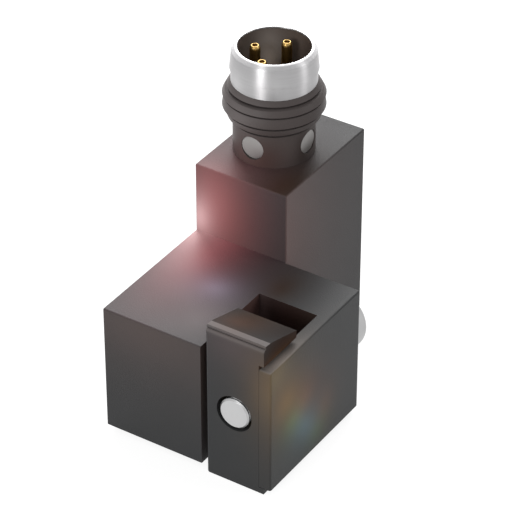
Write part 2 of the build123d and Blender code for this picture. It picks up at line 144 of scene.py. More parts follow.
class NeckSizes(bpy.types.PropertyGroup):
    """Sizes of the connector's body, over the tower's top"""

    diameter: length_setting("Neck", "Diameter of the neck", 7.5)
    height: length_setting("Neck height", "Height of the neck up to the collar", 3.78)
    bore: length_setting("Bore", "Bore that the light ring sits in", 6.4)
    spigot_diameter: length_setting("Spigot", "Diameter of the spigot in the tower's roof", 5.0)
    spigot_bore: length_setting("Spigot bore", "Bore of the spigot", 4.0)
    collar_diameter: length_setting("Collar", "Diameter of the collar under the barb ring", 8.5)
    collar_height: length_setting("Collar height", "Height of the collar", 0.92)
    ridge_diameter: length_setting("Ridges", "Diameter over the two ridges", 9.38)
    waist_diameter: length_setting("Waist", "Diameter under the upper ridge", 9.06)
    lower_ridge_height: length_setting("Lower ridge", "Height of the lower ridge", 1.17)
    upper_ridge_height: length_setting("Upper ridge", "Height of the upper ridge", 0.86)
    shoulder_diameter: length_setting("Shoulder", "Diameter where the upper ridge bends in", 8.84)
    shoulder_height: length_setting("Shoulder height", "Height of that bend over the ridge's edge", 0.53)
    top_tier_diameter: length_setting("Top tier", "Diameter of the tier under the sleeve", 8.52)
    undercut: length_setting("Undercut", "How far a tier overhangs the one below", 0.12)
    groove_depth: length_setting("Groove depth", "Depth of the fine groove under a tier", 0.22)
    groove_height: length_setting("Groove height", "Height that shows of the groove under a tier", 0.15)
    edge_round: length_setting("Edge rounding", "Rounding of the tiers' edges", 0.04)
    window_diameter: length_setting("Window", "Diameter of the round windows", 2.3)
    window_height: length_setting("Window height", "Height of the windows' middle", 1.8)
    window_count: IntProperty(
        name="Windows", description="Number of round windows", default=4, min=1, max=8
    )
    seat_depth: length_setting("Seat depth", "Depth of the lining's seat below the sleeve", 2.8)


class LensSizes(bpy.types.PropertyGroup):
    """Sizes and colour of the light ring with its lenses"""

    dome: length_setting("Dome", "How far a lens is domed", 0.16)
    gap: length_setting("Gap", "Gap between a lens and its window", 0.01)
    board_gap: length_setting("Board gap", "Gap between the ring and the round board", 0.05)
    edge_round: length_setting("Edge rounding", "Rounding of the ring's edges", 0.08)
    colour: colour_setting("Colour", "Colour of the lenses", (0.38, 0.365, 0.355))


class SleeveSizes(bpy.types.PropertyGroup):
    """Sizes and colour of the turned sleeve"""

    colour: colour_setting("Colour", "Colour of the plating", (0.39, 0.385, 0.39))
    plain_diameter: length_setting("Plain band", "Diameter of the plain band over the body", 7.82)
    plain_height: length_setting("Plain band height", "Height of the plain band", 1.3)
    bore: length_setting("Bore", "Bore that the socket's lining sits in", 7.2)
    shoulder_diameter: length_setting("Shoulder", "Diameter where the band meets the rim", 7.7)
    shoulder_drop: length_setting("Shoulder drop", "How far that shoulder lies below the rim", 0.36)
    rim_bore: length_setting("Rim bore", "Bore of the rim", 6.66)
    rim_land: length_setting("Rim land", "Width of the rim's flat top", 0.14)
    rim_bevel: length_setting("Rim bevel", "Width of the bevel outside the flat top", 0.15)
    rim_lip: length_setting("Rim lip", "Height of the rim's lip over the lining", 0.18)
    edge_round: length_setting("Edge rounding", "Rounding of the sleeve's edges", 0.05)
    line_pitch: length_setting("Turning pitch", "Distance between the fine turned lines", 0.05)


class ContactSizes(bpy.types.PropertyGroup):
    """Sizes of the contacts"""

    diameter: length_setting("Diameter", "Diameter of a contact", 1.0)
    tip_height: length_setting("Tip height", "Height of the rounded tip", 0.42)
    tip_diameter: length_setting("Tip", "Diameter of the flat end of the tip", 0.68)
    tip_drop: length_setting("Tip drop", "How far the tips stay below their full height", 0.24)
    dimple: length_setting("Dimple", "Radius of the dimple in a contact's tip", 0.28)
    collar_diameter: length_setting("Collar", "Diameter of the collar in the carrier", 1.5)
    collar_height: length_setting("Collar height", "Height of the collar in the carrier", 0.7)
    tail_diameter: length_setting("Tail", "Diameter of the soldered tail", 0.5)


class ScrewSizes(bpy.types.PropertyGroup):
    """Sizes and colour of the clamp screw"""

    colour: colour_setting("Colour", "Colour of the steel", (0.37, 0.37, 0.372))
    thread_diameter: length_setting("Thread", "Outer diameter of the thread", 3.0)
    pitch: length_setting("Pitch", "Distance from one thread to the next", 0.5)
    thread_depth: length_setting("Thread depth", "Depth of the thread", 0.29)
    tip_chamfer: length_setting("Tip chamfer", "Chamfer of the screw's flat end", 0.15)
    tip_reach: length_setting("Tip reach", "How far the screw's end comes forward in its hole", 0.15)
    groove_depth: length_setting("Groove depth", "Depth of the groove for the retaining ring", 0.2)
    head_height: length_setting("Head height", "Height of the head", 2.5)
    head_edge: length_setting("Head edge", "Rounding of the head's edge", 0.4)
    socket_flats: length_setting("Socket", "Width of the hexagon socket across its flats", 2.5)
    socket_depth: length_setting("Socket depth", "Depth of the hexagon socket", 1.4)


class StudioSetup(bpy.types.PropertyGroup):
    """Camera and light"""

    azimuth: angle_setting("Azimuth", "Turn of the camera from the front", 32.99)
    elevation: angle_setting("Elevation", "Height angle of the camera", 34.90)
    distance: length_setting("Distance", "Distance from the camera to its target", 235.786)
    lens: FloatProperty(name="Lens", description="Focal length in millimetres", default=190.73, min=10.0)
    key: power_setting("Key lamp", "Power of the lamp over the back", 2.2)
    front: power_setting("Front lamp", "Power of the tall front lamp", 0.85)
    side: power_setting("Side lamp", "Power of the tall lamp on the right", 0.36)
    ambient: FloatProperty(
        name="Room light", description="Strength of the even light from all round", default=0.6
    )
    floor_width: length_setting("Floor", "Width of the floor", 8000)
    floor_colour: colour_setting("Floor colour", "Colour of the floor under the lamps", (0.4, 0.4, 0.4))
    floor_white: share_setting("Floor white", "White that the floor shows even in the shadow", 0.86)
    shadow_colour: colour_setting(
        "Shadow colour", "Colour that the shadow takes from the floor", (0.25, 0.25, 0.25)
    )


# The spot that the camera and the lamps look at, in millimetres
LOOKED_AT = (1.577, -5.25, 17.84)
# Each lamp: its setting, its place, width and height in metres
LAMPS = (
    ("key", (-0.17, 0.26, 0.30), 0.3, 0.3),
    ("front", (-0.014, -0.4, 0.13), 0.12, 0.26),
    ("side", (0.371, 0.15, 0.13), 0.1, 0.26),
)
WHITE = (1.0, 1.0, 1.0)
# How near the camera still sees, in metres
NEAREST_SEEN = 0.01

# Nodes in one row of a sheet, and the room that each takes
NODES_IN_ROW = 12
NODE_WIDTH = 220
NODE_HEIGHT = 260
# Sides that a face can look to: the axis, and 1 along it or -1 against it
FRONT = ("Y", -1.0)
LEFT = ("X", -1.0)
RIGHT = ("X", 1.0)
TOP = ("Z", 1.0)
# Half the width of a sharp mask's edge, in millimetres
MASK_EDGE = 0.01
# Mouldings: the scale of their mottle per millimetre, how light the grain is and how much it shows,
# and the roughness that a patch of painted shade adds
MOTTLE_SCALE = 0.35
GRAIN_LIGHT = 1.8
GRAIN_SHARE = 0.12
SHADE_DULLNESS = 0.3
# The base cover's light and the connector's grain, as shares of the housing's
COVER_LIGHT = 0.9
CONNECTOR_GRAIN = 0.7
# Bare metal: the stretch of its lines, and how light the painted highlight on its rim is
LINE_STRETCH = 0.08
RIM_HIGHLIGHT = 1.6


# Materials
class Wire:
    """A socket in a material's node sheet. Arithmetic on it adds Math nodes."""

    def __init__(self, sheet, socket):
        self.sheet = sheet
        self.socket = socket

    def maths(self, operation, *terms):
        return self.sheet.node("ShaderNodeMath", {"operation": operation}, dict(enumerate(terms)))

    def __add__(self, other):
        return self.maths("ADD", self, other)

    def __radd__(self, other):
        return self.maths("ADD", other, self)

    def __sub__(self, other):
        return self.maths("SUBTRACT", self, other)

    def __rsub__(self, other):
        return self.maths("SUBTRACT", other, self)

    def __mul__(self, other):
        return self.maths("MULTIPLY", self, other)

    def __rmul__(self, other):
        return self.maths("MULTIPLY", other, self)

    def exp(self):
        return self.maths("EXPONENT", self)

    def root(self):
        return self.maths("SQRT", self)

    def wave(self):
        return self.maths("SINE", self)

    def at_least(self, low):
        return self.maths("MAXIMUM", self, low)


class NodeSheet:
    """The nodes of one material or world, and the place on the object in millimetres."""

    def __init__(self, owner):
        owner.use_nodes = True
        self.owner = owner
        self.tree = owner.node_tree
        self.tree.nodes.clear()
        self.count = 0

    @cached_property
    def place(self):
        """The place on the object, in millimetres."""
        coordinate = self.node("ShaderNodeTexCoord", output="Object")
        return self.node("ShaderNodeVectorMath", {"operation": "SCALE"}, {0: coordinate, "Scale": 1 / MM})

    def node(self, kind, settings=None, inputs=None, output=0):
        """Adds a node: its settings first, then its sockets, from numbers, colours or wires."""
        made = self.tree.nodes.new(kind)
        row, column = divmod(self.count, NODES_IN_ROW)
        made.location = (NODE_WIDTH * column, -NODE_HEIGHT * row)
        self.count += 1
        for key, value in (settings or {}).items():
            setattr(made, key, value)
        for key, value in (inputs or {}).items():
            socket = made.inputs[key]
            if isinstance(value, Wire):
                self.tree.links.new(value.socket, socket)
            elif hasattr(value, "__len__") and len(value) == 3 and socket.type == "RGBA":
                socket.default_value = (*value, 1.0)
            else:
                socket.default_value = value
        return Wire(self, made.outputs[output]) if made.outputs else made

    def vector_maths(self, operation, first, second, output=0):
        """Adds a Vector Math node."""
        return self.node("ShaderNodeVectorMath", {"operation": operation}, {0: first, 1: second}, output)

    def noise(self, scale, detail, stretch=None):
        """A noise over the place, scaled per millimetre; a stretch under 1 draws it out along its axis."""
        place = self.place
        if stretch:
            place = self.vector_maths("MULTIPLY", place, stretch)
        return self.node("ShaderNodeTexNoise", None, {"Vector": place, "Scale": scale, "Detail": detail})

    def mix(self, factor, first, second, blend="MIX"):
        """Mixes two colours."""
        settings = {"data_type": "RGBA", "blend_type": blend}
        return self.node("ShaderNodeMix", settings, {0: factor, 6: first, 7: second}, output=2)

    def varied(self, mask, colour, darker, lighter):
        """Varies a colour between a darker and a lighter shade of itself."""
        dark = tuple(darker * c for c in colour)
        light = tuple(min(1.0, lighter * c) for c in colour)
        return self.mix(mask, dark, light)

    def bump(self, height, strength, distance_mm):
        """A bump from a height."""
        inputs = {"Strength": strength, "Distance": distance_mm * MM, "Height": height}
        return self.node("ShaderNodeBump", None, inputs, output="Normal")

    def axis(self, name):
        """One coordinate of the place."""
        return self.node("ShaderNodeSeparateXYZ", None, {0: self.place}, output=name)

    def facing(self, name):
        """How much the face looks along one axis of the object."""
        normal = self.node("ShaderNodeTexCoord", output="Normal")
        return self.node("ShaderNodeSeparateXYZ", None, {0: normal}, output=name)

    def fade(self, spot, reach):
        """A soft mask that falls off from a spot, with its own reach along each axis, in millimetres."""
        offset = self.vector_maths("SUBTRACT", self.place, spot)
        scaled = self.vector_maths("MULTIPLY", offset, tuple(1 / length for length in reach))
        square = self.vector_maths("DOT_PRODUCT", scaled, scaled, "Value")
        return (1 - (1 + square).root()).exp()

    def patch(self, spot, reach, side):
        """A soft mask round a spot on the object, only on the faces that look to one side."""
        letter, way = side
        facing = (way * self.facing(letter)).at_least(0.0)
        return self.fade(corner_spot(*spot), reach) * facing * facing

    def beyond(self, letter, limit, way=1):
        """A sharp mask of what lies past a limit along an axis, or short of it where way is -1."""
        edge = MASK_EDGE * way
        reach = {"Value": self.axis(letter), "From Min": limit - edge, "From Max": limit + edge}
        return self.node("ShaderNodeMapRange", None, reach)

    def add_painted_light(self, shade, painted_light_patches):
        """Adds soft patches of painted light to a colour."""
        for spot, reach, added, side in painted_light_patches:
            shade = self.mix(self.patch(spot, reach, side), shade, added, "ADD")
        return shade

    def surface(self, **sockets):
        """Ends the sheet with its shader; the names of sockets are given with underscores."""
        inputs = {name.replace("_", " "): value for name, value in sockets.items()}
        shader = self.node("ShaderNodeBsdfPrincipled", None, inputs)
        self.node("ShaderNodeOutputMaterial", None, {"Surface": shader})
        return self.owner

    def background(self):
        """Tells the rays that show the surroundings from those that only light the object."""
        camera, glossy, clear = (
            self.node("ShaderNodeLightPath", output=name)
            for name in ("Is Camera Ray", "Is Glossy Ray", "Is Transmission Ray")
        )
        return camera.at_least(glossy).at_least(clear)


def new_sheet(name):
    """Starts the node sheet of a new material."""
    return NodeSheet(bpy.data.materials.new(name))


def moulded(name, colour, grain, roughness, painted_light_patches=(), shades=(), ledge_highlight=None, gloss=0.1):
    """Moulded plastic with an eroded grain, a slight mottle, patches of painted light, duller patches of
    painted shade and a painted ledge highlight.
    """
    sheet = new_sheet(name)
    mottle = sheet.noise(MOTTLE_SCALE, 3.0)
    fine = sheet.noise(0.5 / grain, 2.0)
    shade = sheet.varied(mottle, colour, 0.93, 1.07)
    shade = sheet.mix(fine * GRAIN_SHARE, shade, tuple(GRAIN_LIGHT * c for c in colour))
    rough = roughness - 0.05 + 0.1 * mottle + 0.06 * fine
    # Painted shade where hardly any light reaches; it also makes the surface duller
    for spot, reach, dark, side in shades:
        patch = sheet.patch(spot, reach, side)
        shade = sheet.mix(patch, shade, dark)
        rough = rough + SHADE_DULLNESS * patch
    # Painted glow, sheen and highlight patches
    shade = sheet.add_painted_light(shade, painted_light_patches)
    # Painted highlight on the ledge, only in front of the given depth
    if ledge_highlight:
        spot, reach, added, side, depth = ledge_highlight
        in_front = sheet.beyond("Y", corner_spot(0.0, depth, 0.0).y, -1)
        shade = sheet.mix(in_front * sheet.patch(spot, reach, side), shade, added, "ADD")
    return sheet.surface(
        Base_Color=shade,
        Roughness=rough,
        Specular_IOR_Level=gloss,
        Normal=sheet.bump(fine, 0.25, grain),
    )


def turned_metal(name, colour, roughness, pitch, axis, brushed=0.0, highlight_above=None, painted_light_patches=()):
    """Bare metal with fine turned lines across an axis, a painted rim highlight and painted light; brushed
    draws highlights along it.
    """
    sheet = new_sheet(name)
    spread = 0.05
    stretch = tuple(1.0 if letter == axis else LINE_STRETCH for letter in "XYZ")
    streaks = sheet.noise(0.25 / pitch, 3.0, stretch)
    cloud = sheet.noise(0.6, 2.0)
    shade = sheet.varied(streaks, colour, 0.9, 1.08)
    # Painted highlight on the rim, above a height
    if highlight_above:
        above = sheet.beyond(axis, highlight_above)
        shade = sheet.mix(above, shade, tuple(RIM_HIGHLIGHT * c for c in colour))
    return sheet.surface(
        Base_Color=sheet.add_painted_light(shade, painted_light_patches),
        Metallic=1.0,
        Roughness=roughness + spread * (streaks - 0.5) + spread * (cloud - 0.5),
        Anisotropic=brushed,
        Anisotropic_Rotation=0.25,
        Normal=sheet.bump(streaks, 0.08, pitch),
    )


def plain_finish(name, colour, roughness, scale, spread=0.1, metallic=0.0, bump=0.15):
    """A finish with a soft variation of colour and gloss, for the small pieces inside."""
    sheet = new_sheet(name)
    grain = sheet.noise(scale, 3.0)
    return sheet.surface(
        Base_Color=sheet.varied(grain, colour, 1 - spread, 1 + spread),
        Metallic=metallic,
        Roughness=roughness + spread * (grain - 0.5),
        Normal=sheet.bump(grain, bump, 0.3 / scale),
    )


def laminate(name, mask_colour, track_colour):
    """Circuit board under its solder mask, with fine tracks."""
    sheet = new_sheet(name)
    tightness = 9.0
    warp = (sheet.axis("Y") * tightness).wave()
    weft = (sheet.axis("Z") * tightness + sheet.axis("X") * tightness).wave()
    weave = warp * weft
    bricks = {
        "Vector": sheet.place,
        "Scale": 0.8,
        "Color1": mask_colour,
        "Color2": mask_colour,
        "Mortar": track_colour,
    }
    return sheet.surface(
        Base_Color=sheet.node("ShaderNodeTexBrick", {"offset": 0.5}, bricks),
        Roughness=0.38 + 0.05 * weave,
        Normal=sheet.bump(weave, 0.1, 0.02),
    )


def frosted(name, colour):
    """Frosted translucent plastic of the lenses."""
    sheet = new_sheet(name)
    cloud = sheet.noise(1.2, 2.0)
    shade = sheet.varied(cloud, colour, 0.92, 1.05)
    # Painted shade where the lens lies in shadow
    for spot, reach, dark, side in LENS_SHADES:
        shade = sheet.mix(sheet.patch(spot, reach, side), shade, dark)
    return sheet.surface(
        Base_Color=shade,
        Roughness=0.38 + 0.08 * cloud,
        Transmission_Weight=0.15,
        Normal=sheet.bump(sheet.noise(9.0, 2.0), 0.08, 0.02),
    )


def corner_spot(x, y, z):
    """A spot given from the housing's lower left front corner, in millimetres."""
    return lowest("housing") + Vector((x, y, z))


# Painted light: soft patches of painted glow, sheen and highlight, each with its spot from the housing's
# corner and its reach along each axis, in millimetres, the colour that it adds, and the side that the
# painted faces look to
HOUSING_PAINTED_LIGHT = (
    ((2.1, 14.6, 16.3), (2.2, 2.0, 4.0), (0.264, 0.067, 0.067), FRONT),
    ((0.4, 14.6, 14.4), (0.8, 2.0, 1.4), (0.472, 0.347, 0.352), FRONT),
    ((4.5, 0.0, 12.3), (5.8, 4.0, 2.7), (0.039, 0.022, 0.018), FRONT),
    ((18.5, 0.0, 10.9), (1.6, 4.0, 2.5), (0.095, 0.054, 0.013), FRONT),
    ((3.1, 13.7, 12.8), (1.7, 3.7, 1.5), (0.299, 0.072, 0.082), TOP),
    ((0.6, 16.2, 12.8), (0.9, 2.4, 1.5), (0.604, 0.414, 0.412), TOP),
    ((6.6, 8.0, 12.8), (1.2, 1.1, 1.5), (0.091, 0.086, 0.124), TOP),
    ((8.5, 3.7, 12.8), (1.7, 1.9, 1.5), (0.059, 0.046, 0.047), TOP),
    ((17.2, 1.8, 12.8), (0.7, 1.9, 1.5), (0.2, 0.165, 0.14), TOP),
    ((2.4, 9.5, 19.9), (1.7, 3.4, 1.5), (0.42, 0.15, 0.152), TOP),
    ((9.7, 8.6, 14.6), (0.4, 5.1, 6.3), (0.158, 0.08, 0.071), RIGHT),
    ((17.5, 0.7, 12.3), (2.0, 1.4, 1.6), (0.087, 0.056, 0.013), RIGHT),
    ((17.5, 2.5, 8.2), (2.0, 1.4, 1.4), (0.105, 0.047, 0.0), RIGHT),
    ((17.5, 5.4, 6.6), (2.0, 1.1, 1.2), (0.068, 0.013, 0.0), RIGHT),
    ((17.5, 8.7, 3.8), (2.0, 1.0, 1.3), (0.045, 0.012, 0.0), RIGHT),
    ((17.5, 3.6, 5.5), (2.0, 0.95, 0.95), (0.02, 0.054, 0.008), RIGHT),
    ((17.5, 4.6, 4.6), (2.0, 0.95, 0.95), (0.008, 0.032, 0.036), RIGHT),
    ((17.5, 5.6, 3.7), (2.0, 0.95, 0.95), (0.014, 0.042, 0.062), RIGHT),
    ((17.5, 6.6, 2.8), (2.0, 0.95, 0.95), (0.014, 0.026, 0.034), RIGHT),
    ((17.5, 7.6, 1.9), (2.0, 0.95, 0.95), (0.006, 0.028, 0.0), RIGHT),
)
# Painted light on the jaw: on its front and lip, a painted warm glow on its slope and low on its right
# side
JAW_PAINTED_LIGHT = (
    ((13.3, 0.0, 14.3), (2.4, 4.0, 1.6), (0.03, 0.017, 0.017), FRONT),
    ((16.8, 0.0, 10.6), (1.0, 4.0, 2.4), (0.061, 0.033, 0.008), FRONT),
    ((13.7, 0.1, 14.93), (9.0, 0.6, 0.1), (0.07, 0.065, 0.063), FRONT),
    ((12.3, 2.6, 15.0), (1.1, 1.1, 1.1), (0.03, 0.011, 0.005), TOP),
    ((16.9, 1.8, 12.9), (1.0, 1.5, 0.4), (0.06, 0.03, 0.012), RIGHT),
)
# The painted highlight on the ledge of the jaw's head, given in the same way, with the depth at which it
# ends
JAW_LEDGE_HIGHLIGHT = ((13.7, 0.5, 15.2), (9.0, 9.0, 0.6), (0.106, 0.094, 0.092), TOP, 1.02)
# Dark shades where hardly any light reaches, given in the same way, with the dark colour
HOUSING_SHADES = (
    ((8.8, 15.8, 19.9), (1.6, 2.6, 1.0), (0.03, 0.02, 0.013), TOP),
    ((11.5, 11.0, 12.8), (1.0, 1.6, 1.0), (0.03, 0.021, 0.015), TOP),
    ((13.5, 9.3, 10.5), (3.5, 0.6, 4.0), (0.022, 0.0105, 0.01), FRONT),
    ((10.4, 8.2, 11.5), (0.6, 3.0, 3.0), (0.009, 0.0055, 0.005), RIGHT),
)
JAW_SHADES = (
    ((16.8, 3.2, 13.6), (2.0, 3.5, 1.3), (0.009, 0.006, 0.005), TOP),
    ((13.0, 3.5, 13.6), (1.3, 3.0, 1.3), (0.034, 0.02, 0.013), TOP),
    ((16.6, 3.0, 14.0), (1.5, 4.0, 2.5), (0.013, 0.004, 0.001), RIGHT),
)
LENS_SHADES = (
    ((9.0, 20.9, 20.9), (2.0, 1.0, 0.8), (0.1, 0.09, 0.086), RIGHT),
    ((5.2, 17.0, 20.6), (0.7, 2.0, 0.8), (0.22, 0.19, 0.19), FRONT),
)
NECK_SHADES = (
    ((6.0, 17.2, 21.0), (1.8, 2.0, 1.6), (0.035, 0.024, 0.02), FRONT),
    ((8.1, 19.9, 21.3), (2.0, 0.7, 1.6), (0.028, 0.02, 0.018), RIGHT),
)
# Painted light on the connector and on the screw's end, given as the first ones are
# Painted highlights: bright streaks on the sleeve's front
SLEEVE_PAINTED_HIGHLIGHTS = (
    ((6.4, 17.7, 28.4), (0.6, 0.6, 0.9), (0.27, 0.27, 0.27), FRONT),
    ((2.6, 17.4, 27.7), (0.8, 1.0, 1.0), (0.18, 0.18, 0.18), FRONT),
)
# Painted light on the screw's end, which faces the front
SCREW_PAINTED_LIGHT = (((13.75, 0.0, 7.0), (3.0, 1.0, 3.0), (0.145, 0.145, 0.145), FRONT),)
# Painted sheen on the neck's front and left, and a painted red glow at its foot
NECK_PAINTED_LIGHT = (
    ((3.4, 16.4, 25.6), (1.3, 1.5, 2.2), (0.07, 0.065, 0.065), FRONT),
    ((1.0, 18.0, 25.6), (1.0, 1.5, 2.2), (0.08, 0.075, 0.075), LEFT),
    ((2.5, 16.5, 20.2), (3.5, 3.0, 1.2), (0.04, 0.008, 0.008), FRONT),
)
# Painted reflection: a light band down the socket's inner wall, with painted light beside it
LINING_PAINTED_LIGHT = (
    ((2.0, 23.6, 26.9), (0.6, 0.6, 1.0), (0.93, 0.85, 0.8), FRONT),
    ((2.0, 23.6, 26.9), (0.6, 0.6, 1.0), (0.93, 0.85, 0.8), RIGHT),
    ((0.8, 21.2, 27.2), (1.5, 1.5, 1.0), (0.2, 0.18, 0.165), RIGHT),
    ((4.9, 24.2, 27.0), (0.8, 1.0, 1.6), (0.11, 0.09, 0.08), FRONT),
)


# Steps that a round edge, a small rounding and a lens's dome are drawn with
ARC_STEPS = 8
EDGE_STEPS = 3
LENS_STEPS = 6
# Points nearer than this count as one, in millimetres
SAME_POINT = 1e-6
# The largest share of an outline's line that the rounding of one end takes
MOST_CUT = 0.45
# Faces that meet at less than this angle are shaded smooth
SMOOTH_ANGLE = math.radians(30)
# Height that a tier hides from the camera for each millimetre that it overhangs
TIER_HIDES = 0.7
# Share of the rim's bevel, from its top, that carries the painted highlight
HIGHLIGHT_BEVEL = 0.6
# Screw thread: where it starts, in chamfers from the tip, the slope of its flanks, the share of its
# depth where the root is flat, how fast it deepens and fades, and the rings drawn for one turn
THREAD_START = 1.25
FLANK_SLOPE = 1.25
FLAT_ROOT = 0.9
RUN_IN = 2.5
RUN_OUT = 1.25
ROWS_PER_PITCH = 10


# Meshes, drawn in millimetres and settled in metres
def ring_mesh(rings, closed):
    """Joins rings of points into a mesh; a ring of one point closes the end that it stands at."""
    mesh = bmesh.new()
    made = [[mesh.verts.new(point) for point in ring] for ring in rings]
    pairs = list(zip(made, made[1:]))
    if closed:
        pairs.append((made[-1], made[0]))
    for low, high in pairs:
        steps = max(len(low), len(high))
        for number in range(steps):
            after = (number + 1) % steps
            lower = [low[number % len(low)], low[after % len(low)]]
            upper = [high[after % len(high)], high[number % len(high)]]
            mesh.faces.new(dict.fromkeys(lower + upper))
    bmesh.ops.recalc_face_normals(mesh, faces=mesh.faces)
    return mesh


def turned(name, profile, centre, axis="Z", steps=160, radius_at=None):
    """Turns a profile of (radius, distance) about an axis through centre, as an object."""
    first = "XYZ".index(axis)
    along, across, third = (Matrix.Identity(3).row[(first + number) % 3] for number in range(3))
    rings = []
    for radius, distance in profile:
        if radius == 0:
            rings.append([centre + along * distance])
            continue
        ring = []
        for step in range(steps):
            angle = 2 * math.pi * step / steps
            reach = radius_at(radius, distance, angle) if radius_at else radius
            outward = across * math.cos(angle) + third * math.sin(angle)
            ring.append(centre + along * distance + outward * reach)
        rings.append(ring)
    mesh = ring_mesh(rings, closed=profile[0][0] > 0 and profile[-1][0] > 0)
    return as_object(name, mesh)


def as_object(name, mesh):
    """Puts a finished bmesh into a new object in the scene."""
    data = bpy.data.meshes.new(name)
    mesh.to_mesh(data)
    mesh.free()
    made = bpy.data.objects.new(name, data)
    bpy.context.scene.collection.objects.link(made)
    return made


def eased(points, radius, skip=()):
    """Rounds the corners of an outline of (radius, distance) points, apart from those skipped."""
    out = []
    total = len(points)
    for number, point in enumerate(points):
        before = Vector(points[number - 1]) - Vector(point)
        after = Vector(points[(number + 1) % total]) - Vector(point)
        if number in skip or min(before.length, after.length) < SAME_POINT or point[0] == 0:
            out.append(tuple(point))
            continue
        cut = min(radius, before.length * MOST_CUT, after.length * MOST_CUT)
        start = Vector(point) + before.normalized() * cut
        end = Vector(point) + after.normalized() * cut
        for step in range(EDGE_STEPS + 1):
            share = step / EDGE_STEPS
            bend = start * (1 - share) ** 2 + Vector(point) * 2 * share * (1 - share) + end * share**2
            out.append((bend.x, bend.y))
    return out


def combine(target, tool, operation):
    """Applies a boolean with a tool object, which is then removed."""
    cutter = target.modifiers.new(operation.lower(), "BOOLEAN")
    cutter.object = tool
    cutter.operation = operation
    cutter.solver = "EXACT"
    settled = bpy.data.meshes.new_from_object(target.evaluated_get(bpy.context.evaluated_depsgraph_get()))
    target.modifiers.clear()
    target.data = settled
    bpy.data.objects.remove(tool)


def radius_of(diameter):
    """Gives half of a diameter setting, in millimetres."""
    return diameter / MM / 2


def at_window(neck, number):
    """Gives the move that puts a piece drawn along X into one of the neck's windows."""
    turn = Matrix.Rotation(2 * math.pi * number / neck.window_count, 4, "Z")
    return Matrix.Translation(on_axis(TOWER_TOP + neck.window_height / MM)) @ turn


def settle(piece, material, body, nodes):
    """Brings a piece to metres, shades it, and has it ride on its body in place of CAD nodes."""
    piece.data.transform(Matrix.Scale(MM, 4))
    smooth_by_angle(piece)
    piece.data.materials.clear()
    piece.data.materials.append(material)
    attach(piece, body)
    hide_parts(*nodes)


def smooth_by_angle(piece):
    """Shades a piece smooth, apart from its sharp edges."""
    mesh = bmesh.new()
    mesh.from_mesh(piece.data)
    for face in mesh.faces:
        face.smooth = True
    for edge in mesh.edges:
        edge.smooth = len(edge.link_faces) == 2 and edge.calc_face_angle(0.0) < SMOOTH_ANGLE
    mesh.to_mesh(piece.data)
    mesh.free()


def paint(material, *names):
    """Gives CAD nodes their material."""
    for name in names:
        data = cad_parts[name].data
        data.materials.clear()
        data.materials.append(material)


# Pieces
class SENSOR_OT_moulded_parts(bpy.types.Operator):
    """Finish the housing, its base cover and the clamp jaw"""

    bl_idname = "sensor.moulded_parts"
    bl_label = "Moulded Parts"

    def execute(self, context):
        finish = context.scene.sensor_moulding
        grain = finish.grain / MM
        colour = tuple(finish.colour)
        rough = finish.roughness
        # Painted light and painted shade on the housing and the jaw, and a painted highlight on the jaw's
        # ledge
        housing = moulded("Housing plastic", colour, grain, rough, HOUSING_PAINTED_LIGHT, HOUSING_SHADES)
        jaw = moulded("Jaw plastic", colour, grain, rough, JAW_PAINTED_LIGHT, JAW_SHADES, JAW_LEDGE_HIGHLIGHT)
        cover = moulded("Cover plastic", tuple(COVER_LIGHT * c for c in colour), grain, rough + 0.05)
        paint(housing, "housing")
        paint(jaw, "clamp_jaw")
        paint(cover, "base_cover")
        return {"FINISHED"}


